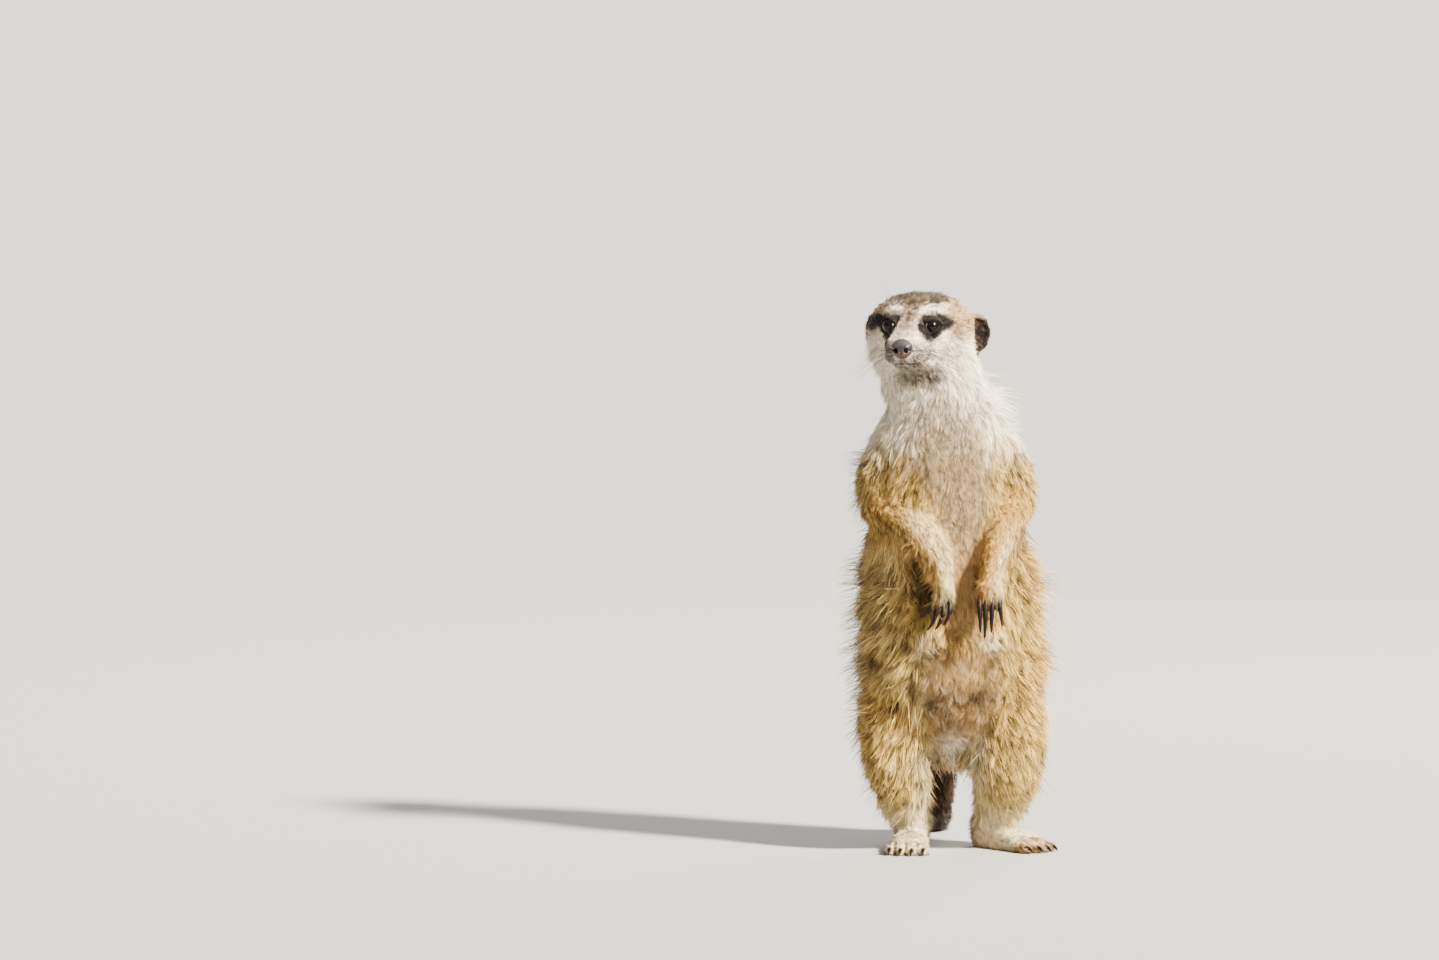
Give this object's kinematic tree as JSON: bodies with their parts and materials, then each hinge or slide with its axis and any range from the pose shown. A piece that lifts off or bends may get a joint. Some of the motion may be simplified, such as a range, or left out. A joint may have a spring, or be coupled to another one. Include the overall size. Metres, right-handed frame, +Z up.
{
  "type": "meerkat model",
  "caption": "Life-size adult meerkat standing upright on its hind legs and propped by its tail, paws hanging over the belly, head turned slightly to its right.",
  "frame": {"origin": "on the floor, under the middle of the whole animal's box, tail included", "axes": "+Z up, the animal faces -Y, and its own left side is towards +X"},
  "size_m": [0.1076, 0.2588, 0.2998],
  "materials": {
    "coat": "yellowish-buff fur with dark roots and cream tips",
    "pale_coat": "short cream fur",
    "head_coat": "short white and grey-brown fur with dark patches round the eyes",
    "chest_coat": "short grey-brown fur, thin over the belly",
    "dark_coat": "black-brown fur of the tail's end",
    "ear_coat": "very short black-brown fur",
    "tail_coat": "short dark and orange-brown fur",
    "nose_skin": "bare, moist dark grey skin",
    "eye_brown": "wet dark brown eye",
    "claw_horn": "smooth slate-coloured horn"
  },
  "bodies": {
    "root": {"belly": "chest_coat", "chest": "chest_coat", "ear_left": "ear_coat", "ear_right": "ear_coat", "eye_left": "eye_brown", "eye_right": "eye_brown", "foot_left": "pale_coat", "foot_right": "pale_coat", "forearm_left": "pale_coat", "forearm_right": "pale_coat", "front_claw_left_1": "claw_horn", "front_claw_left_2": "claw_horn", "front_claw_left_3": "claw_horn", "front_claw_left_4": "claw_horn", "front_claw_right_1": "claw_horn", "front_claw_right_2": "claw_horn", "front_claw_right_3": "claw_horn", "front_claw_right_4": "claw_horn", "hand_left": "pale_coat", "hand_right": "pale_coat", "head": "head_coat", "hind_claw_left_1": "claw_horn", "hind_claw_left_2": "claw_horn", "hind_claw_left_3": "claw_horn", "hind_claw_left_4": "claw_horn", "hind_claw_right_1": "claw_horn", "hind_claw_right_2": "claw_horn", "hind_claw_right_3": "claw_horn", "hind_claw_right_4": "claw_horn", "neck": "pale_coat", "nose": "nose_skin", "shank_left": "coat", "shank_right": "coat", "tail_base": "tail_coat", "tail_middle": "tail_coat", "tail_tip": "dark_coat", "thigh_left": "coat", "thigh_right": "coat", "upper_arm_left": "coat", "upper_arm_right": "coat"}
  },
  "joints": []
}
